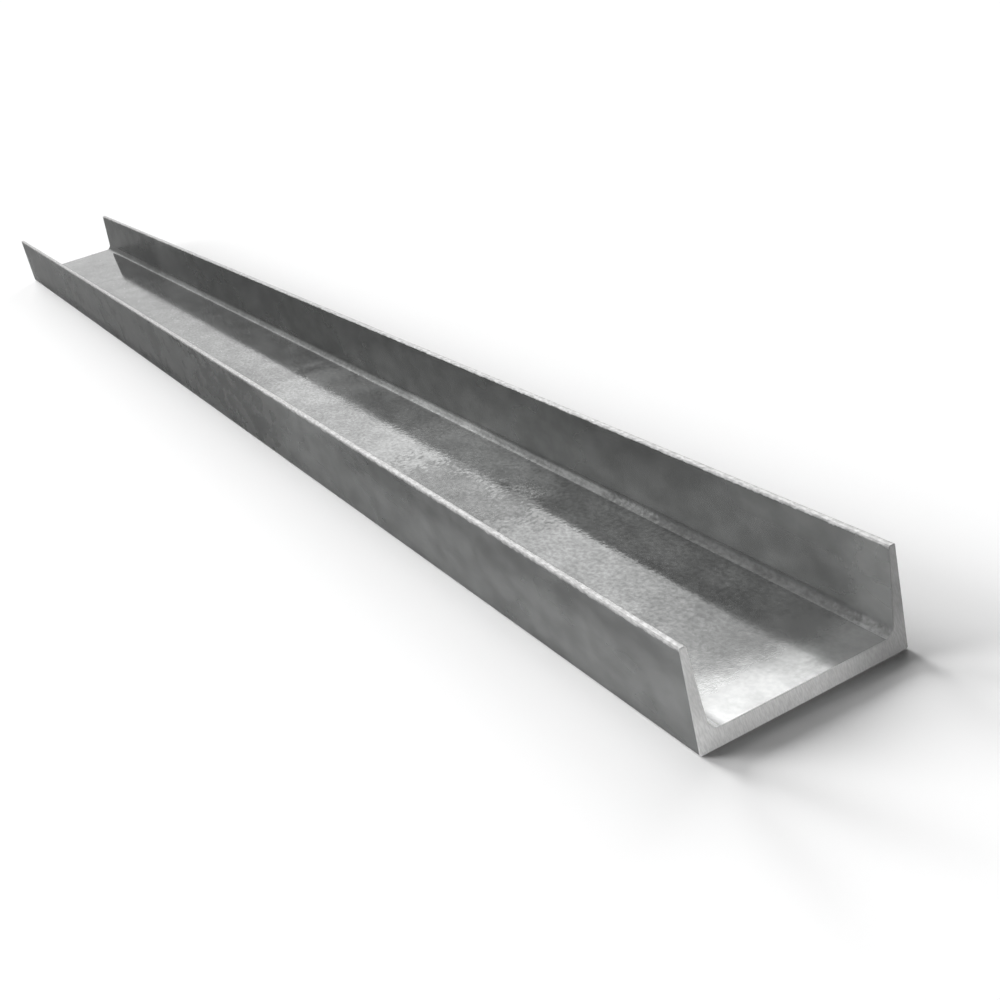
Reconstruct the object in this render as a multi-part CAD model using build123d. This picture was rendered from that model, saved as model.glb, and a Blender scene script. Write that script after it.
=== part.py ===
from build123d import *
import os

# One length of taper-flange channel, formed in one piece and sawn square at both ends.
# It lies on its web with both flanges standing up.
# X runs along the stock, Y runs across the web and Z runs up the flanges.
# The origin is the middle of the underside of the web. Every size is in millimetres.

# Overall size
web_width = 75.0  # over the outer faces of the two flanges
flange_height = 35.0  # from the underside of the web to the flange tips
stock_length = 1000.0  # between the sawn ends

# Section
web_thickness = 6.4
flange_thickness = 3.8  # at half the flange height
flange_taper = 0.08  # the inner face leans out 8 in 100, and the outer face stands square

# Rounding left by forming
root_radius = 4.0  # inside corner between web and flange
toe_radius = 0.8  # inner edge of a flange tip
tip_radius = 0.5  # outer edge of a flange tip
heel_radius = 1.0  # outside corner under a flange

# Edge taken off all round each sawn end
end_break = 0.3


def thickness_at(height):
    # A flange is thickest at its root and thins steadily towards its tip.
    return flange_thickness + flange_taper * (flange_height / 2 - height)


def section():
    # The corners run up the right flange, down to its root, across the web and back.
    outer = web_width / 2
    heel = (outer, 0)
    tip = (outer, flange_height)
    toe = (outer - thickness_at(flange_height), flange_height)
    root = (outer - thickness_at(web_thickness), web_thickness)
    right_corners = [heel, tip, toe, root]
    right_radii = [heel_radius, tip_radius, toe_radius, root_radius]
    left_corners = [(-across, up) for across, up in reversed(right_corners)]
    corners = right_corners + left_corners
    radii = right_radii + right_radii[::-1]

    with BuildSketch(Plane.YZ) as outline:
        with BuildLine():
            FilletPolyline(*corners, radius=radii, close=True)
        make_face()
    return outline.sketch


def channel():
    stock = extrude(section(), amount=stock_length / 2, both=True)
    sawn_ends = stock.faces().filter_by(Axis.X)
    return chamfer(sawn_ends.edges(), end_break)


os.makedirs("parts", exist_ok=True)
export_step(channel(), "parts/channel.step")
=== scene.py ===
import math
import random

import bpy
import numpy as np
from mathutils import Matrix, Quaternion, Vector, geometry, noise


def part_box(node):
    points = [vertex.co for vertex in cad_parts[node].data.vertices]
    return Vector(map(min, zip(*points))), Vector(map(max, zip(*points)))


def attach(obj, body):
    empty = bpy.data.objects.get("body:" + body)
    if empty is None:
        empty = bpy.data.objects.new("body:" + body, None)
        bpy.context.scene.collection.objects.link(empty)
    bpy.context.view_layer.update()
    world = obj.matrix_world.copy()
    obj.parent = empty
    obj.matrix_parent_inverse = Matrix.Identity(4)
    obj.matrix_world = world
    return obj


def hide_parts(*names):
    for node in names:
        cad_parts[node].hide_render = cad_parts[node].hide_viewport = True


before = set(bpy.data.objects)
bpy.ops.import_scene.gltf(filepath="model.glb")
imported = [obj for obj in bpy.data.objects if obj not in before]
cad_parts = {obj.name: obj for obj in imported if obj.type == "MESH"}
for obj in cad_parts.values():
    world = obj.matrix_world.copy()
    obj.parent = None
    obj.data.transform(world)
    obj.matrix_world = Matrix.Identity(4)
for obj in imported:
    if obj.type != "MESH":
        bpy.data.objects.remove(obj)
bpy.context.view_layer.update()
lowCorner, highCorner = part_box("channel")
print("frame loaded, channel from", tuple(lowCorner), "to", tuple(highCorner))

mm = 0.001

# The stock's section, as it is drawn in the part. Outer sizes come from the frame.
section = {
    "webThickness": 6.4 * mm,
    "flangeThickness": 3.8 * mm,  # halfway up a flange
    "flangeTaper": 0.08,  # the inner face leans out by this much
    "rootRadius": 4.0 * mm,
    "toeRadius": 0.8 * mm,
    "tipRadius": 0.5 * mm,
    "heelRadius": 1.0 * mm,
    "endBreak": 0.3 * mm,  # edge filed off round each sawn end
}

# How finely the stock is cut into faces.
meshSteps = {
    "heel": 4,  # steps round each corner of the section
    "tip": 4,
    "toe": 5,
    "root": 9,
    "runs": (13, 2, 10, 26, 10, 2, 13, 12),  # pieces of each straight run, from the right heel up
    "ringGap": 2.5 * mm,  # between rings along the stock
    "closestRings": 0.12 * mm,
    "endRings": (0.6 * mm, 1.2 * mm),  # more rings, this far in from each end
    "endGrid": 0.32 * mm,  # between points on a sawn face
    "endClear": 0.7,  # those points keep this share of the grid away from the edge
    "samePoint": 1e-9,  # points nearer than this are one
    "sharpAngle": 28,  # degrees
}

# How far the real surface strays from the drawn one. Everything goes into the metal, never out of it.
stockRelief = {
    "waveDepth": 0.07 * mm,
    "waveLength": (95 * mm, 30 * mm),  # along the stock and round the section
    "waveShares": (0.35, 0.15),  # of long waves and of short ones
    "shortWaves": 2.7,  # to each long one
    "shortWaveShift": (11.3, 4.1, 7.7),  # so that they don't follow the long ones
    "nickCount": 34,
    "nickReach": 0.99,  # share of the length that has nicks
    "nickDepth": (0.08 * mm, 0.3 * mm),
    "nickLength": (0.8 * mm, 2.6 * mm),
    "nickBand": 1.0 * mm,  # how far below the tips they are felt
    "nickEdge": 1.2 * mm,  # outer nicks are nearer than this to the outer face, inner ones further in
    "nickSeed": 7,
    "breakShare": 0.8,  # of the edge's full size, on average
    "breakUneven": 0.25,  # and how much that share varies
    "breakScale": 160,  # noise steps in a metre
    "sawPitch": 1.1 * mm,
    "sawDepth": 0.02 * mm,
    "sawLean": 0.18,  # how far the saw lines lean from upright
    "sawLeast": 0.25,  # share of the depth between the lines
    "sawPatchy": 0.4,  # how much the lines fade in places
    "sawWander": 1.4,  # how much they stray sideways
    "sawWanderScale": 90,  # noise steps in a metre
    "sawEndShift": 3.0,  # so that the two ends differ
}


def thicknessAt(height):
    halfway = (highCorner.z - lowCorner.z) / 2
    return section["flangeThickness"] + section["flangeTaper"] * (halfway - height)


def roundedCorner(before, corner, after, radius, steps):
    # points on the arc that rounds one corner of the outline
    toBefore = (before - corner).normalized()
    toAfter = (after - corner).normalized()
    halfAngle = toBefore.angle(toAfter) / 2
    centre = corner + (toBefore + toAfter).normalized() * radius / math.sin(halfAngle)
    start = corner + toBefore * radius / math.tan(halfAngle) - centre
    end = corner + toAfter * radius / math.tan(halfAngle) - centre
    sweep = start.angle(end)
    points = []
    for i in range(steps + 1):
        share = i / steps
        blend = (start * math.sin((1 - share) * sweep) + end * math.sin(share * sweep)) / math.sin(sweep)
        points.append(centre + blend)
    return points


def sectionOutline():
    # goes up the outside of the right flange, down its inside, over the web and back the same way
    outer, top, web = highCorner.y, highCorner.z, section["webThickness"]
    right = [
        (Vector((outer, 0)), section["heelRadius"], meshSteps["heel"]),
        (Vector((outer, top)), section["tipRadius"], meshSteps["tip"]),
        (Vector((outer - thicknessAt(top), top)), section["toeRadius"], meshSteps["toe"]),
        (Vector((outer - thicknessAt(web), web)), section["rootRadius"], meshSteps["root"]),
    ]
    left = [(Vector((-c.x, c.y)), radius, steps) for c, radius, steps in reversed(right)]
    corners = right + left
    outline = []
    for i, (corner, radius, steps) in enumerate(corners):
        before = corners[i - 1][0]
        nextCorner, nextRadius, nextSteps = corners[(i + 1) % len(corners)]
        afterNext = corners[(i + 2) % len(corners)][0]
        outline += roundedCorner(before, corner, nextCorner, radius, steps)
        # the straight run, up to where the next corner's arc starts
        start = outline[-1]
        end = roundedCorner(corner, nextCorner, afterNext, nextRadius, nextSteps)[0]
        pieces = meshSteps["runs"][i]
        outline += [start.lerp(end, k / pieces) for k in range(1, pieces)]
    return outline


def outwardNormals(outline):
    normals = []
    for i in range(len(outline)):
        along = outline[(i + 1) % len(outline)] - outline[i - 1]
        normals.append(Vector((along.y, -along.x)).normalized())
    return normals


def makeNicks():
    # small knocks on the flange tips, each with its place, side, depth and half length
    draw = random.Random(stockRelief["nickSeed"])
    reach = stockRelief["nickReach"]
    nicks = []
    for i in range(stockRelief["nickCount"]):
        nicks.append({
            "x": draw.uniform(lowCorner.x * reach, highCorner.x * reach),
            "side": draw.choice((-1, 1)),
            "depth": draw.uniform(*stockRelief["nickDepth"]),
            "half": draw.uniform(*stockRelief["nickLength"]) / 2,
            "inner": draw.random() < 0.5,
        })
    return nicks


def ringStations(nicks):
    # even steps along the stock, with more rings at the ends and at each nick
    edge = highCorner.x - section["endBreak"]
    count = round(2 * edge / meshSteps["ringGap"])
    stations = [-edge + 2 * edge * i / count for i in range(count + 1)]
    for inset in meshSteps["endRings"]:
        stations += [edge - inset, inset - edge]
    for nick in nicks:
        stations += [nick["x"] + nick["half"] * share for share in (-1, -0.5, 0, 0.5, 1)]
    stations.sort()
    kept = [stations[0]]
    for x in stations[1:]:
        if x - kept[-1] > meshSteps["closestRings"]:
            kept.append(x)
    kept[-1] = edge
    return kept


def waveAt(x, y, z):
    # how deep the rolled surface lies here, in slow waves
    alongStep, roundStep = stockRelief["waveLength"]
    longShare, shortShare = stockRelief["waveShares"]
    place = Vector((x / alongStep, y / roundStep, z / roundStep))
    long = noise.noise(place)
    short = noise.noise(place * stockRelief["shortWaves"] + Vector(stockRelief["shortWaveShift"]))
    return stockRelief["waveDepth"] * (0.5 + longShare * long + shortShare * short)


def nickAt(x, y, z, nicks):
    # how far a nick lowers a flange tip here
    band = stockRelief["nickBand"]
    below = highCorner.z - z
    if below > band:
        return 0
    onInnerEdge = abs(y) < highCorner.y - stockRelief["nickEdge"]
    depth = 0
    for nick in nicks:
        reach = abs(x - nick["x"]) / nick["half"]
        if reach < 1 and y * nick["side"] > 0 and onInnerEdge == nick["inner"]:
            depth = max(depth, nick["depth"] * (1 - reach * reach) * (1 - below / band))
    return depth


def sawCutAt(y, z, side):
    # how deep the saw's lines are here on a sawn face
    scale = stockRelief["sawWanderScale"]
    least, patchy = stockRelief["sawLeast"], stockRelief["sawPatchy"]
    wander = noise.noise(Vector((y * scale, z * scale, side * stockRelief["sawEndShift"])))
    across = y + z * stockRelief["sawLean"]
    turn = 2 * math.pi * across / stockRelief["sawPitch"] + stockRelief["sawWander"] * wander
    groove = 0.5 + 0.5 * math.sin(turn)
    return stockRelief["sawDepth"] * (least + (1 - least) * groove * (1 - patchy + patchy * wander))


def pointsInside(edge):
    # staggered rows of points that fill the outline, clear of its edge
    grid = meshSteps["endGrid"]
    ahead = np.roll(edge, -1, axis=0)
    span = ahead - edge
    rise = span[:, 1].copy()
    rise[rise == 0] = 1e-12  # a level piece is never crossed, and this only avoids dividing by zero
    acrossSteps = np.arange(edge[:, 0].min(), edge[:, 0].max(), grid)
    upSteps = np.arange(edge[:, 1].min(), edge[:, 1].max(), grid * math.sqrt(3) / 2)
    points = []
    for row, z in enumerate(upSteps):
        line = np.stack([acrossSteps + (row % 2) * grid / 2, np.full(len(acrossSteps), z)], 1)
        crossed = (edge[None, :, 1] > line[:, None, 1]) != (ahead[None, :, 1] > line[:, None, 1])
        where = edge[:, 0] + (line[:, None, 1] - edge[None, :, 1]) / rise * span[:, 0]
        inside = (crossed & (where > line[:, None, 0])).sum(1) % 2 == 1
        share = ((line[:, None] - edge) * span).sum(2) / (span ** 2).sum(1)
        nearest = edge + np.clip(share, 0, 1)[..., None] * span
        distance = np.linalg.norm(line[:, None] - nearest, axis=2).min(1)
        clear = distance > meshSteps["endClear"] * grid
        points += [tuple(p) for p in line[inside & clear]]
    return points


def addSawnFace(vertices, faces, ring, x, side):
    # fills the ring with a fine net of points, and cuts the saw's lines into it
    edge = np.array([(vertices[i][1], vertices[i][2]) for i in ring])
    points = [Vector(p) for p in edge] + [Vector(p) for p in pointsInside(edge)]
    count = len(ring)
    borders = [(i, (i + 1) % count) for i in range(count)]
    keepInside = 1  # drops the triangles outside the border
    net = geometry.delaunay_2d_cdt(points, borders, [], keepInside, meshSteps["samePoint"])
    placed, triangles = net[0], net[2]
    first = len(vertices)
    for p in placed[count:]:
        vertices.append((x - side * sawCutAt(p.x, p.y, side), p.x, p.y))
    for triangle in triangles:
        corners = [ring[i] if i < count else first + i - count for i in triangle]
        faces.append(corners if side > 0 else corners[::-1])


def addEnd(vertices, faces, lastRing, outline, normals, side):
    # the edge filed off at one end, and then the sawn face inside it
    count = len(outline)
    first = len(vertices)
    scale = stockRelief["breakScale"]
    for k, i in enumerate(lastRing):
        place = Vector((outline[k].x * scale, outline[k].y * scale, side))
        uneven = stockRelief["breakShare"] + stockRelief["breakUneven"] * noise.noise(place)
        inset = section["endBreak"] * uneven
        vertices.append((
            highCorner.x * side,
            vertices[i][1] - normals[k].x * inset,
            vertices[i][2] - normals[k].y * inset,
        ))
    ring = list(range(first, first + count))
    for k in range(count):
        following = (k + 1) % count
        face = (lastRing[k], lastRing[following], ring[following], ring[k])
        faces.append(face if side > 0 else face[::-1])
    addSawnFace(vertices, faces, ring, highCorner.x * side, side)


def makeStock():
    outline = sectionOutline()
    normals = outwardNormals(outline)
    nicks = makeNicks()
    stations = ringStations(nicks)
    count = len(outline)
    vertices = []
    for x in stations:
        for p, n in zip(outline, normals):
            depth = waveAt(x, p.x, p.y)
            drop = nickAt(x, p.x, p.y, nicks)
            vertices.append((x, p.x - n.x * depth, max(p.y - n.y * depth - drop, lowCorner.z)))
    faces = []
    for i in range(len(stations) - 1):
        for k in range(count):
            a, b = i * count + k, i * count + (k + 1) % count
            faces.append((a, b, b + count, a + count))
    sideFaces = len(faces)
    farRing = list(range(count))
    nearRing = [(len(stations) - 1) * count + k for k in range(count)]
    addEnd(vertices, faces, farRing, outline, normals, -1)
    addEnd(vertices, faces, nearRing, outline, normals, 1)

    mesh = bpy.data.meshes.new("titaniumChannel")
    mesh.from_pydata(vertices, [], faces)
    # the first material is the mill skin, the second the sawn face
    mesh.polygons.foreach_set("material_index", [0] * sideFaces + [1] * (len(faces) - sideFaces))
    mesh.polygons.foreach_set("use_smooth", [True] * len(faces))
    mesh.update()
    mesh.set_sharp_from_angle(angle=math.radians(meshSteps["sharpAngle"]))
    stock = bpy.data.objects.new("titaniumChannel", mesh)
    bpy.context.scene.collection.objects.link(stock)
    triangleCount = sum(len(f) - 2 for f in faces)
    print("stock made:", len(stations), "rings of", count, "points,", triangleCount, "triangles")
    return stock


noiseReach = (0.3, 0.7)  # nearly all of a noise lies between these


def addNode(tree, kind, inputs=None, **settings):
    # one shader node; an input is a plain value or the output of another node
    made = tree.nodes.new(kind)
    for name, value in settings.items():
        setattr(made, name, value)
    for name, value in (inputs or {}).items():
        socket = made.inputs[name]
        if isinstance(value, bpy.types.NodeSocket):
            tree.links.new(value, socket)
        else:
            socket.default_value = value
    return made


def grey(level):
    return (level, level, level, 1)


def noiseOver(tree, place, size, stretch=(1, 1, 1), detail=3):
    # noise whose blotches are about this size in metres, drawn out by stretch along each axis
    scale = [1 / (size * s) for s in stretch]
    moved = addNode(tree, "ShaderNodeMapping", {"Vector": place, "Scale": scale})
    return addNode(tree, "ShaderNodeTexNoise", {
        "Vector": moved.outputs[0], "Scale": 1.0, "Detail": detail, "Roughness": 0.55,
    }).outputs["Fac"]


def rangeOf(tree, value, fromLow, fromHigh, toLow=0.0, toHigh=1.0):
    # eases from toLow to toHigh as the value goes from fromLow to fromHigh
    return addNode(tree, "ShaderNodeMapRange", {
        "Value": value, "From Min": fromLow, "From Max": fromHigh, "To Min": toLow, "To Max": toHigh,
    }, interpolation_type="SMOOTHSTEP").outputs["Result"]


def calculate(tree, operation, a, b=0.0):
    return addNode(tree, "ShaderNodeMath", {0: a, 1: b}, operation=operation).outputs[0]


def multiply(tree, a, b):
    return calculate(tree, "MULTIPLY", a, b)


def restOf(tree, share):
    return calculate(tree, "SUBTRACT", 1.0, share)


def mixNumber(tree, share, a, b):
    return addNode(tree, "ShaderNodeMix", {0: share, 2: a, 3: b}, data_type="FLOAT").outputs[0]


def mixColour(tree, share, a, b):
    made = addNode(tree, "ShaderNodeMix", data_type="RGBA")
    for index, value in ((0, share), (6, a), (7, b)):
        if isinstance(value, bpy.types.NodeSocket):
            tree.links.new(value, made.inputs[index])
        else:
            made.inputs[index].default_value = value
    return made.outputs[2]


def shadeColour(tree, colour, shade):
    inputs = {0: colour, "Scale": shade}
    return addNode(tree, "ShaderNodeVectorMath", inputs, operation="SCALE").outputs[0]


def separate(tree, vector):
    return addNode(tree, "ShaderNodeSeparateXYZ", {"Vector": vector}).outputs


def newMaterial(name):
    material = bpy.data.materials.new(name)
    material.use_nodes = True
    tree = material.node_tree
    tree.nodes.clear()
    surface = addNode(tree, "ShaderNodeBsdfPrincipled")
    output = addNode(tree, "ShaderNodeOutputMaterial")
    tree.links.new(surface.outputs[0], output.inputs[0])
    place = addNode(tree, "ShaderNodeTexCoord").outputs["Object"]
    return material, tree, surface, place


def linkSurface(tree, surface, inputs):
    for name, output in inputs.items():
        tree.links.new(output, surface.inputs[name])


# The skin that rolling leaves on titanium: shiny on the web, duller up the flanges, whose darker colours
# and edge tints are painted shade for the darker room that they mirror.
millSkin = {
    "webColour": (0.422, 0.427, 0.424, 1),
    "insideColour": (0.362, 0.367, 0.364, 1),  # up the inside of the flanges
    "outsideColour": (0.322, 0.327, 0.325, 1),  # the flanges' outer faces
    "webEdgeTint": (0.45, 0.45, 0.45, 1),
    "insideEdgeTint": (0.2, 0.2, 0.2, 1),
    "outsideEdgeTint": (0.1, 0.1, 0.1, 1),
    "metalShare": 0.8,  # the rest is the thin oxide film
    "webRoughness": (0.05, 0.1),
    "flangeRoughness": (0.22, 0.3),

    "cloud": {"size": 42 * mm, "stretch": (2.2, 1, 1), "detail": 4},
    "cloudReach": (0.35, 0.68),  # where the clouds' noise starts to darken, and has its full shade
    "cloudShade": 0.84,  # the clouds' brightness beside the colours above
    "stain": {"size": 9 * mm, "stretch": (1.6, 1, 1)},
    "webStain": 0.8,  # how dark the stains get beside the clean metal
    "flangeStain": 0.8,
    "fleck": {"size": 1.6 * mm, "stretch": (1.5, 1, 1)},
    "fleckShade": (1.18, 0.82),  # on the web and in the roots
    "fleckFade": (435 * mm, 480 * mm),  # on the web they fade here, towards the near end
    "fleckLeft": 0.3,  # the share of them that is left there
    "rootShade": 0.7,  # painted shade in the roots' hollows, which dims the reflection there
    "rootRoughness": 0.34,

    # the bumps: lines from drawing, scale and fine grain
    "drawLine": {"size": 0.45 * mm, "stretch": (160, 1, 1)},
    "drawLineHeight": 0.002 * mm,
    "scale": {"size": 1.7 * mm, "stretch": (1, 1.4, 1), "detail": 2},
    "scaleHeight": 0.045 * mm,
    "webRelief": 0.3,  # shares of that height
    "flangeRelief": 0.06,
    "grain": {"size": 0.7 * mm, "detail": 2},
    "grainHeight": 0.005 * mm,
    "flangeGrain": 0.1,  # share of that height
    "grainReach": (0.25, 0.75),
    "grainRougher": (0.85, 1.2),  # the web's roughness varies with the grain

    "rubbedColour": (0.7, 0.7, 0.695, 1),  # flange tips, rubbed bright
    "dullRubColour": (0.48, 0.48, 0.477, 1),  # and where the rubbing missed
    "rubbedRoughness": 0.34,
    "rub": {"size": 1.2 * mm, "stretch": (2, 1, 1)},
    "rubReach": (0.35, 0.65),
    "nearTipPaintedShade": 0.86,  # painted shade: the tips darker towards the near end
    "nearTipShadeStart": (280 * mm, 430 * mm),
    "insideRubDepth": (0.9 * mm, 0.35 * mm),  # how far below the tips the rubbing starts, and is full
    "outsideRubDepth": (1.7 * mm, 0.4 * mm),
    "tipWander": {"size": 3 * mm},
    "tipWanderDepth": 0.3 * mm,  # how far the rubbing's lower edge strays up and down

    # how much a face looks up, from 0 to 1, where one part of the section blends into the next
    "levelFrom": (0.75, 0.98),
    "rootFrom": (0.15, 0.45),
    "rootTo": (0.995, 0.93),
    "hollowFrom": (0.2, 0.65),
    "hollowTo": (0.99, 0.8),
    # and the same as shares of half the width, or of the height
    "outsideFrom": (-0.3, 0.3),
    "troughTo": (0.1, 0.4),
    "highFrom": (0.45, 0.85),
    "lowTo": (0.05, 0.3),

    "patchEdge": (0.75, 1.15),  # a patch fades between these shares of its half size
    "patchWander": {"size": 16 * mm},
    "patchWanderShare": 0.25,  # how far a ragged edge strays, as a share of the half size
    # uneven ovals where the film differs, or where light and shade are painted as the notes say: middle
    # and half size along and across, how ragged the edge is, how much brighter and rougher it is there,
    # and its shares of metal and of relief
    "patches": [
        {"on": "web", "middle": (-120 * mm, 4 * mm), "half": (230 * mm, 60 * mm),
         "ragged": 0.6, "brighter": 1.08, "rougher": 1.0, "metalShare": 0.76, "relief": 0.4},
        {"on": "web", "middle": (178 * mm, 4 * mm), "half": (130 * mm, 60 * mm),
         "ragged": 0.6, "brighter": 1.24, "rougher": 1.1, "metalShare": 0.66, "relief": 0.9},
        {"on": "web", "middle": (345 * mm, 4 * mm), "half": (100 * mm, 60 * mm),
         "ragged": 0.6, "brighter": 1.0, "rougher": 1.0, "metalShare": 0.79, "relief": 0.8},
        {"on": "web", "middle": (284 * mm, -10 * mm), "half": (46 * mm, 24 * mm),
         "ragged": 1.3, "brighter": 0.66, "rougher": 2.6, "metalShare": 0.76, "relief": 1.0},
        # painted shade: darker here, dimming the web's bright reflection by the near end
        {"on": "web", "middle": (445 * mm, 5 * mm), "half": (54 * mm, 13 * mm),
         "ragged": 0.6, "brighter": 0.86, "rougher": 1.0, "metalShare": 0.8, "relief": 0.4},
        # painted highlight: a little lighter by the near end, and smoother
        {"on": "web", "middle": (490 * mm, 4 * mm), "half": (50 * mm, 90 * mm),
         "ragged": 0.3, "brighter": 1.05, "rougher": 1.4, "metalShare": 0.8, "relief": 0.12},
        # painted reflection: the next three make the band where the right flange shows in the web
        # lighter and darker
        {"on": "web", "middle": (272 * mm, 21 * mm), "half": (52 * mm, 12 * mm),
         "ragged": 0.5, "brighter": 1.24, "rougher": 1.0, "metalShare": 0.76, "relief": 0.5},
        {"on": "web", "middle": (163 * mm, 22 * mm), "half": (45 * mm, 12 * mm),
         "ragged": 0.5, "brighter": 0.86, "rougher": 1.0, "metalShare": 0.74, "relief": 0.5},
        {"on": "web", "middle": (464 * mm, 19 * mm), "half": (26 * mm, 10 * mm),
         "ragged": 0.5, "brighter": 0.84, "rougher": 1.0, "metalShare": 0.78, "relief": 0.3},
        # painted light: lighter over the trough by the open near end
        {"on": "trough", "middle": (520 * mm, 4 * mm), "half": (41 * mm, 300 * mm),
         "ragged": 0.15, "brighter": 1.21, "rougher": 1.2, "metalShare": 0.67, "relief": 0.1},
        {"on": "inside", "middle": (-430 * mm, 34 * mm), "half": (110 * mm, 30 * mm),
         "ragged": 0.0, "brighter": 0.8, "rougher": 1.0, "metalShare": 0.84, "relief": 0.06},
        # painted highlight on the near-left root
        {"on": "root", "middle": (500 * mm, -32 * mm), "half": (70 * mm, 14 * mm),
         "ragged": 0.3, "brighter": 2.4, "rougher": 1.7, "metalShare": 0.3, "relief": 0.2},
        # painted reflection: the next two make the right root's bright band lighter here and darker by
        # the near end
        {"on": "root", "middle": (195 * mm, 32 * mm), "half": (40 * mm, 14 * mm),
         "ragged": 0.5, "brighter": 1.3, "rougher": 1.0, "metalShare": 0.7, "relief": 0.2},
        {"on": "root", "middle": (430 * mm, 32 * mm), "half": (75 * mm, 14 * mm),
         "ragged": 1.0, "brighter": 0.76, "rougher": 1.4, "metalShare": 0.76, "relief": 0.2},
        # painted light: lighter up the inside of the flanges by the open near end
        {"on": "high inside", "middle": (500 * mm, 34 * mm), "half": (90 * mm, 30 * mm),
         "ragged": 0.0, "brighter": 1.18, "rougher": 1.0, "metalShare": 0.7, "relief": 0.06},
        # darker towards the top of the outer face by the near end
        {"on": "high outside", "middle": (430 * mm, -38 * mm), "half": (190 * mm, 30 * mm),
         "ragged": 0.0, "brighter": 0.74, "rougher": 1.0, "metalShare": 0.8, "relief": 0.06},
        # painted shade along the foot of the outer face, where the floor's shade meets it
        {"on": "low outside", "middle": (-270 * mm, -38 * mm), "half": (260 * mm, 30 * mm),
         "ragged": 0.0, "brighter": 0.66, "rougher": 1.0, "metalShare": 0.8, "relief": 0.06},
        {"on": "outside", "middle": (345 * mm, -38 * mm), "half": (205 * mm, 30 * mm),
         "ragged": 0.0, "brighter": 1.1, "rougher": 1.0, "metalShare": 0.74, "relief": 0.06},
    ],
}


def timesEach(shares, size):
    return [share * size for share in shares]


def faceShares(tree, place):
    # how far a point belongs to each part of the section, from 0 to 1
    _, y, z = separate(tree, place)
    _, sideways, lean = separate(tree, addNode(tree, "ShaderNodeTexCoord").outputs["Normal"])
    outward = multiply(tree, sideways, y)
    level = rangeOf(tree, calculate(tree, "ABSOLUTE", lean), *millSkin["levelFrom"])
    outside = rangeOf(tree, outward, *timesEach(millSkin["outsideFrom"], highCorner.y))
    inside = multiply(tree, restOf(tree, level), restOf(tree, outside))
    high = rangeOf(tree, z, *timesEach(millSkin["highFrom"], highCorner.z))
    low = rangeOf(tree, z, *timesEach(millSkin["lowTo"], highCorner.z), 1.0, 0.0)
    trough = restOf(tree, rangeOf(tree, outward, *timesEach(millSkin["troughTo"], highCorner.y)))
    rootRise = rangeOf(tree, lean, *millSkin["rootFrom"])
    rootFall = rangeOf(tree, lean, *millSkin["rootTo"])
    hollowRise = rangeOf(tree, lean, *millSkin["hollowFrom"])
    hollowFall = rangeOf(tree, lean, *millSkin["hollowTo"])
    return {
        "level": level,  # the web's top and its underside
        "web": rangeOf(tree, lean, *millSkin["levelFrom"]),  # its top alone
        "root": multiply(tree, rootRise, rootFall),
        "hollow": multiply(tree, hollowRise, hollowFall),  # the middle of each root's curve
        "trough": trough,  # all but the flanges' outer faces
        "inside": inside,
        "outside": outside,
        "high inside": multiply(tree, high, inside),
        "high outside": multiply(tree, high, outside),
        "low outside": multiply(tree, low, outside),
    }


def filmShade(tree, place, along, faces, cloud):
    # how bright the metal is through clouds, stains and flecks, with painted shade in the roots
    level = faces["level"]
    shade = rangeOf(tree, cloud, *millSkin["cloudReach"], 1.0, millSkin["cloudShade"])
    stainDark = mixNumber(tree, level, millSkin["flangeStain"], millSkin["webStain"])
    stains = rangeOf(tree, noiseOver(tree, place, **millSkin["stain"]), *noiseReach, 1.0, stainDark)
    shade = multiply(tree, shade, stains)
    fleckNoise = noiseOver(tree, place, **millSkin["fleck"])
    flecks = rangeOf(tree, fleckNoise, *noiseReach, *millSkin["fleckShade"])
    left = rangeOf(tree, along, *millSkin["fleckFade"], 1.0, millSkin["fleckLeft"])
    shade = multiply(tree, shade, mixNumber(tree, multiply(tree, level, left), 1.0, flecks))
    # painted shade in the middle of each root's curve, laid with the flecks
    rootFlecksAndShade = multiply(tree, flecks, millSkin["rootShade"])
    return multiply(tree, shade, mixNumber(tree, faces["hollow"], 1.0, rootFlecksAndShade))


def filmRoughness(tree, faces, cloud, grain):
    level = faces["level"]
    webRough = rangeOf(tree, cloud, *noiseReach, *millSkin["webRoughness"])
    flangeRough = rangeOf(tree, cloud, *noiseReach, *millSkin["flangeRoughness"])
    rough = mixNumber(tree, level, flangeRough, webRough)
    grained = rangeOf(tree, grain, *millSkin["grainReach"], *millSkin["grainRougher"])
    rough = multiply(tree, rough, mixNumber(tree, level, 1.0, grained))
    return mixNumber(tree, faces["root"], rough, millSkin["rootRoughness"])


def patchShare(tree, place, patch, wander):
    # 1 inside an uneven oval seen from above, 0 outside it
    (x, y), (alongHalf, acrossHalf) = patch["middle"], patch["half"]
    moved = addNode(tree, "ShaderNodeMapping", {
        "Vector": place,
        "Location": (-x / alongHalf, -y / acrossHalf, 0),
        "Scale": (1 / alongHalf, 1 / acrossHalf, 0),
    })
    reach = addNode(tree, "ShaderNodeVectorMath", {0: moved.outputs[0]}, operation="LENGTH")
    strayed = calculate(tree, "ADD", reach.outputs["Value"], multiply(tree, wander, patch["ragged"]))
    return rangeOf(tree, strayed, *millSkin["patchEdge"], 1.0, 0.0)


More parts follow.
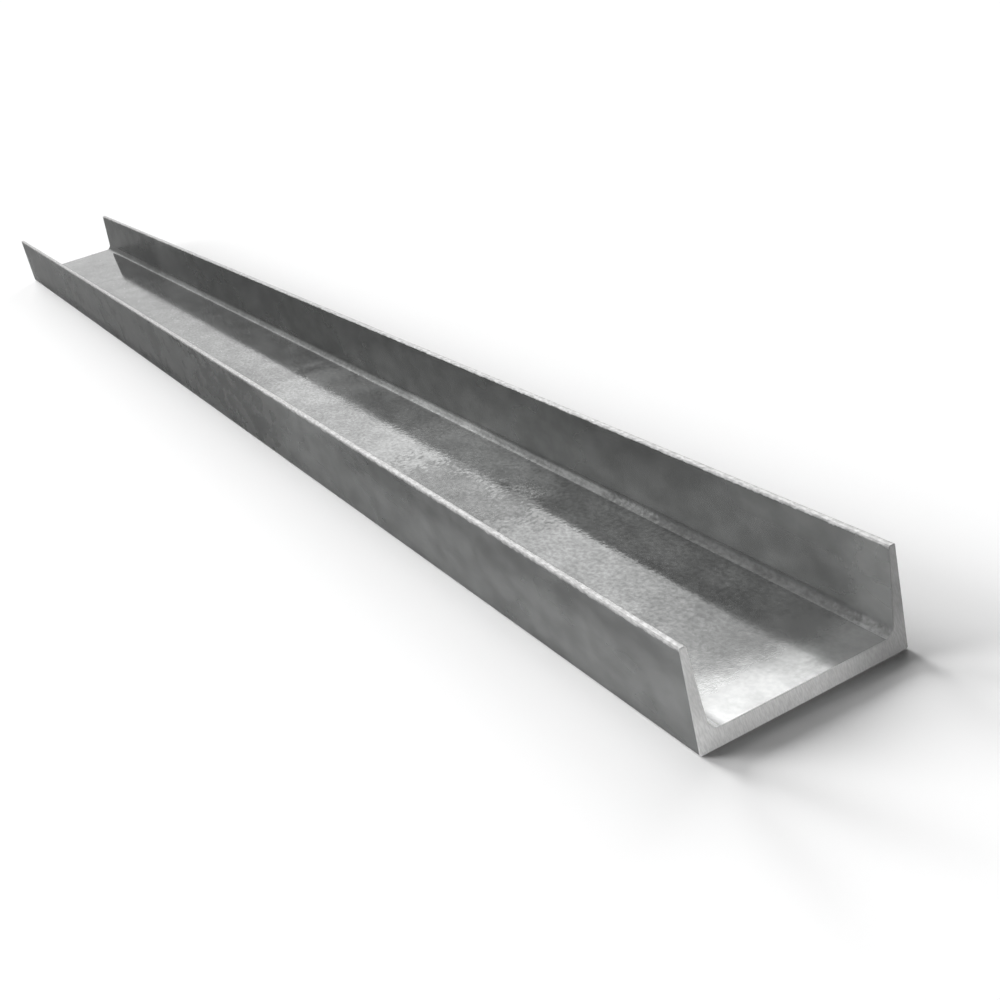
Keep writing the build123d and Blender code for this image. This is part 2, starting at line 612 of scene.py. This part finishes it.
def addPatches(tree, place, faces, scales, shade, rough):
    # lays each patch over the plain film, one after the other
    level = faces["level"]
    metal = millSkin["metalShare"]
    relief = mixNumber(tree, level, millSkin["flangeRelief"], millSkin["webRelief"])
    stray = millSkin["patchWanderShare"]
    slow = noiseOver(tree, place, **millSkin["patchWander"])
    wander = calculate(tree, "ADD",
                       rangeOf(tree, scales, *noiseReach, -stray, stray),
                       rangeOf(tree, slow, *noiseReach, -stray, stray))
    for patch in millSkin["patches"]:
        share = multiply(tree, patchShare(tree, place, patch, wander), faces[patch["on"]])
        shade = multiply(tree, shade, mixNumber(tree, share, 1.0, patch["brighter"]))
        rough = multiply(tree, rough, mixNumber(tree, share, 1.0, patch["rougher"]))
        metal = mixNumber(tree, share, metal, patch["metalShare"])
        relief = mixNumber(tree, share, relief, patch["relief"])
    return shade, rough, metal, relief


def rubbedTips(tree, place, along, up, outside):
    # where the flange tips are rubbed bright, and the colour they have there, with painted shade towards
    # the near end
    depth = millSkin["tipWanderDepth"]
    wanderNoise = noiseOver(tree, place, **millSkin["tipWander"])
    wander = rangeOf(tree, wanderNoise, *noiseReach, -depth, depth)
    below = calculate(tree, "SUBTRACT", highCorner.z, calculate(tree, "ADD", up, wander))
    insideStart, insideFull = millSkin["insideRubDepth"]
    outsideStart, outsideFull = millSkin["outsideRubDepth"]
    start = mixNumber(tree, outside, insideStart, outsideStart)
    full = mixNumber(tree, outside, insideFull, outsideFull)
    rubbed = rangeOf(tree, below, start, full)
    rubs = rangeOf(tree, noiseOver(tree, place, **millSkin["rub"]), *millSkin["rubReach"])
    worn = mixColour(tree, rubs, millSkin["dullRubColour"], millSkin["rubbedColour"])
    paintedTipShade = rangeOf(tree, along, *millSkin["nearTipShadeStart"], 1.0, millSkin["nearTipPaintedShade"])
    return rubbed, shadeColour(tree, worn, paintedTipShade)


def filmBumps(tree, place, level, grain, scales, scaleShare):
    # one bump laid on the other
    drawLines = noiseOver(tree, place, **millSkin["drawLine"])
    grainShare = mixNumber(tree, level, millSkin["flangeGrain"], 1.0)
    layers = [
        (drawLines, millSkin["drawLineHeight"], 1.0),
        (scales, millSkin["scaleHeight"], scaleShare),
        (grain, millSkin["grainHeight"], grainShare),
    ]
    bumped = None
    for height, distance, strength in layers:
        inputs = {"Height": height, "Distance": distance, "Strength": strength}
        if bumped is not None:
            inputs["Normal"] = bumped
        bumped = addNode(tree, "ShaderNodeBump", inputs).outputs[0]
    return bumped


def makeMillSkin():
    material, tree, surface, place = newMaterial("millTitanium")
    along, _, up = separate(tree, place)
    faces = faceShares(tree, place)
    level, outside = faces["level"], faces["outside"]
    cloud = noiseOver(tree, place, **millSkin["cloud"])
    scales = noiseOver(tree, place, **millSkin["scale"])
    grain = noiseOver(tree, place, **millSkin["grain"])

    shade = filmShade(tree, place, along, faces, cloud)
    rough = filmRoughness(tree, faces, cloud, grain)
    shade, rough, metal, scaleShare = addPatches(tree, place, faces, scales, shade, rough)
    flange = mixColour(tree, outside, millSkin["insideColour"], millSkin["outsideColour"])
    plain = mixColour(tree, level, flange, millSkin["webColour"])
    clouded = shadeColour(tree, plain, shade)
    rubbed, worn = rubbedTips(tree, place, along, up, outside)
    flangeTint = mixColour(tree, outside, millSkin["insideEdgeTint"], millSkin["outsideEdgeTint"])
    linkSurface(tree, surface, {
        "Base Color": mixColour(tree, rubbed, clouded, worn),
        "Roughness": mixNumber(tree, rubbed, rough, millSkin["rubbedRoughness"]),
        "Metallic": metal,
        "Specular Tint": mixColour(tree, level, flangeTint, millSkin["webEdgeTint"]),
        "Normal": filmBumps(tree, place, level, grain, scales, scaleShare),
    })
    print("mill skin ready")
    return material


# The sawn ends: a lighter colour than the skin, and hardly any shine, with painted shade on the right
# and up the flanges.
sawnFace = {
    "colour": (0.7, 0.7, 0.695, 1),
    "lineColour": (0.6, 0.6, 0.598, 1),
    "rightPaintedShade": 0.52,  # painted shade: how much darker the sawn face is towards the right
    "rightShadeFrom": (0.1, 0.9),  # shares of half the width
    "flangeEndPaintedShade": 0.8,  # painted shade, darker up the flanges' ends
    "flangeShadeFull": 0.5,  # share of the height where that shade is full
    "metalShare": 0.65,  # at the near end, the rest is the film
    "farMetalShare": 1.0,  # the far end was cut last and has no film yet
    "roughness": (0.75, 0.85),
    "cloud": {"size": 6 * mm},
    "line": {"size": 0.5 * mm, "stretch": (1, 1, 5)},
    "lineReach": (0.35, 0.65),
    "lineHeight": 0.02 * mm,
}


def makeSawnFace():
    material, tree, surface, place = newMaterial("sawnTitanium")
    along, sideways, up = separate(tree, place)
    cloud = noiseOver(tree, place, **sawnFace["cloud"])
    leaning = addNode(tree, "ShaderNodeMapping", {
        "Vector": place, "Rotation": (-stockRelief["sawLean"], 0, 0),
    })
    lines = noiseOver(tree, leaning.outputs[0], **sawnFace["line"])
    lineShare = rangeOf(tree, lines, *sawnFace["lineReach"])
    lined = mixColour(tree, lineShare, sawnFace["lineColour"], sawnFace["colour"])
    rightShadeFrom = timesEach(sawnFace["rightShadeFrom"], highCorner.y)
    # painted shade, darker across the sawn face towards the right
    across = rangeOf(tree, sideways, *rightShadeFrom, 1.0, sawnFace["rightPaintedShade"])
    flangeShadeFull = sawnFace["flangeShadeFull"] * highCorner.z
    # painted shade up the flanges' ends
    upward = rangeOf(tree, up, section["webThickness"], flangeShadeFull, 1.0, sawnFace["flangeEndPaintedShade"])
    bump = addNode(tree, "ShaderNodeBump", {
        "Height": lines, "Distance": sawnFace["lineHeight"], "Strength": 1.0,
    })
    linkSurface(tree, surface, {
        "Base Color": shadeColour(tree, lined, multiply(tree, across, upward)),
        "Roughness": rangeOf(tree, cloud, *noiseReach, *sawnFace["roughness"]),
        "Metallic": rangeOf(tree, along, lowCorner.x / 2, highCorner.x / 2,
                            sawnFace["farMetalShare"], sawnFace["metalShare"]),
        "Normal": bump.outputs[0],
    })
    print("sawn face ready")
    return material


# Where the picture is taken from. Angles are in degrees.
cameraSetup = {
    "eye": (0.79055, -0.19775, 0.22929),
    "azimuth": 67.471,  # turned from +Y towards -X
    "dip": 23.068,  # looking down by this much
    "roll": 13.653,
    "lens": 51.628,
    "sensor": 36,
    "clip": (0.01, 500),
}


def makeCamera():
    camera = bpy.data.objects.new("camera", bpy.data.cameras.new("camera"))
    bpy.context.scene.collection.objects.link(camera)
    azimuth, dip = math.radians(cameraSetup["azimuth"]), math.radians(cameraSetup["dip"])
    flat = math.cos(dip)
    look = Vector((-math.sin(azimuth) * flat, math.cos(azimuth) * flat, -math.sin(dip)))
    level = look.to_track_quat("-Z", "Y")
    camera.rotation_mode = "QUATERNION"
    camera.rotation_quaternion = level @ Quaternion((0, 0, 1), -math.radians(cameraSetup["roll"]))
    camera.location = cameraSetup["eye"]
    camera.data.sensor_width = cameraSetup["sensor"]
    camera.data.lens = cameraSetup["lens"]
    camera.data.clip_start, camera.data.clip_end = cameraSetup["clip"]
    bpy.context.scene.camera = camera
    print("camera placed")


# Soft studio light. Directions are in degrees, turned from +X towards +Y, and heights are
# degrees above the horizon.
studio = {
    "fillHorizon": 0.03,  # the room's own light on the floor, low down
    "fillDark": 0.02,  # and overhead, on its dark side and its bright side
    "fillBright": 0.04,
    "brightSide": 127,
    "brightFrom": (-0.5, 0.4),  # how far a direction points to that side, from -1 to 1
    "shownHorizon": 0.85,  # the pale room that the metal shows
    "shownOverhead": 0.6,
    "overheadFrom": (0.34, 0.6),  # how far a direction points up
    "floorColour": 0.95,
    "floorHalf": 150,  # metres
    "floorGap": 0.02 * mm,  # under the stock
    # the last lamp skims the floor and lights the sawn end
    "lamps": [
        {"towards": -178, "height": 15.2, "angle": 31, "strength": 6.65},
        {"towards": -134, "height": 21.5, "angle": 30, "strength": 2.05},
        {"towards": -150, "height": 30.5, "angle": 34, "strength": 0.44},
        {"towards": 136, "height": 29, "angle": 34, "strength": 0.76},
        {"towards": 179, "height": 61, "angle": 34, "strength": 0.31},
        {"towards": -5, "height": 1.5, "angle": 2.5, "strength": 1.6},
    ],
    # soft bright windows in the room that the metal shows
    "windows": [
        {"towards": 178, "height": 17.5, "halfWidth": 43, "halfHeight": 14.4,
         "level": 0.8, "softness": 2.5},
        {"towards": 148, "height": 39, "halfWidth": 16, "halfHeight": 7,
         "level": 2.6, "softness": 1.2},
        {"towards": -5, "height": 12, "halfWidth": 60, "halfHeight": 16,
         "level": 2.0, "softness": 6},
    ],
}


def directionOf(towards, height):
    towards, height = math.radians(towards), math.radians(height)
    flat = math.cos(height)
    return Vector((math.cos(towards) * flat, math.sin(towards) * flat, math.sin(height)))


def dotWith(tree, vector, fixed):
    inputs = {0: vector, 1: tuple(fixed)}
    return addNode(tree, "ShaderNodeVectorMath", inputs, operation="DOT_PRODUCT").outputs["Value"]


def windowLight(tree, direction, window):
    # a soft-edged rectangle of light far away, seen in the metal
    facing = directionOf(window["towards"], window["height"])
    sideways = Vector((0, 0, 1)).cross(facing).normalized()
    upwards = facing.cross(sideways)
    # kept above zero, so that no second window shows on the opposite side
    depth = calculate(tree, "MAXIMUM", dotWith(tree, direction, facing), 0.001)
    mask = None
    for axis, half in ((sideways, window["halfWidth"]), (upwards, window["halfHeight"])):
        offset = calculate(tree, "DIVIDE", dotWith(tree, direction, axis), depth)
        inner = math.tan(math.radians(half - window["softness"]))
        outer = math.tan(math.radians(half + window["softness"]))
        band = rangeOf(tree, calculate(tree, "ABSOLUTE", offset), inner, outer, 1.0, 0.0)
        mask = band if mask is None else multiply(tree, mask, band)
    return multiply(tree, mask, window["level"])


def makeWorld():
    world = bpy.data.worlds.new("studio")
    world.use_nodes = True
    bpy.context.scene.world = world
    tree = world.node_tree
    tree.nodes.clear()
    direction = addNode(tree, "ShaderNodeTexCoord").outputs["Generated"]
    overhead = rangeOf(tree, dotWith(tree, direction, (0, 0, 1)), *studio["overheadFrom"])
    side = dotWith(tree, direction, directionOf(studio["brightSide"], 0))
    fillAbove = rangeOf(tree, side, *studio["brightFrom"], studio["fillDark"], studio["fillBright"])
    fill = mixNumber(tree, overhead, studio["fillHorizon"], fillAbove)
    shown = mixNumber(tree, overhead, studio["shownHorizon"], studio["shownOverhead"])
    for window in studio["windows"]:
        shown = calculate(tree, "ADD", shown, windowLight(tree, direction, window))
    ray = addNode(tree, "ShaderNodeLightPath").outputs
    mirrored = calculate(tree, "MAXIMUM", ray["Is Glossy Ray"], ray["Is Transmission Ray"])
    # the metal shows the pale room but throws none of its light on the floor
    beforeFloor = calculate(tree, "LESS_THAN", ray["Diffuse Depth"], 0.5)
    seen = calculate(tree, "MAXIMUM", ray["Is Camera Ray"], multiply(tree, mirrored, beforeFloor))
    level = mixNumber(tree, seen, fill, shown)
    background = addNode(tree, "ShaderNodeBackground", {"Color": grey(1), "Strength": level})
    output = addNode(tree, "ShaderNodeOutputWorld")
    tree.links.new(background.outputs[0], output.inputs[0])


def makeLamps():
    for number, setting in enumerate(studio["lamps"]):
        lamp = bpy.data.lights.new(f"lamp{number + 1}", "SUN")
        lamp.energy = setting["strength"]
        lamp.angle = math.radians(setting["angle"])
        lampObject = bpy.data.objects.new(lamp.name, lamp)
        bpy.context.scene.collection.objects.link(lampObject)
        lampObject.rotation_mode = "QUATERNION"
        facing = directionOf(setting["towards"], setting["height"])
        lampObject.rotation_quaternion = facing.to_track_quat("Z", "Y")
        lampObject.visible_glossy = False  # the metal shows the windows, not the lamps


def makeFloor():
    half, level = studio["floorHalf"], lowCorner.z - studio["floorGap"]
    corners = [(-half, -half, level), (half, -half, level), (half, half, level), (-half, half, level)]
    mesh = bpy.data.meshes.new("floor")
    mesh.from_pydata(corners, [], [(0, 1, 2, 3)])
    floor = bpy.data.objects.new("floor", mesh)
    bpy.context.scene.collection.objects.link(floor)
    material = bpy.data.materials.new("paleFloor")
    material.use_nodes = True
    surface = material.node_tree.nodes["Principled BSDF"]
    surface.inputs["Base Color"].default_value = grey(studio["floorColour"])
    surface.inputs["Roughness"].default_value = 1.0
    surface.inputs["Specular IOR Level"].default_value = 0.0
    mesh.materials.append(material)


def makeStudio():
    makeWorld()
    makeLamps()
    makeFloor()
    bpy.context.scene.view_settings.view_transform = "Standard"
    print("studio ready")


makeCamera()
makeStudio()
channel = makeStock()
channel.data.materials.append(makeMillSkin())
channel.data.materials.append(makeSawnFace())
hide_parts("channel")
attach(channel, "root")
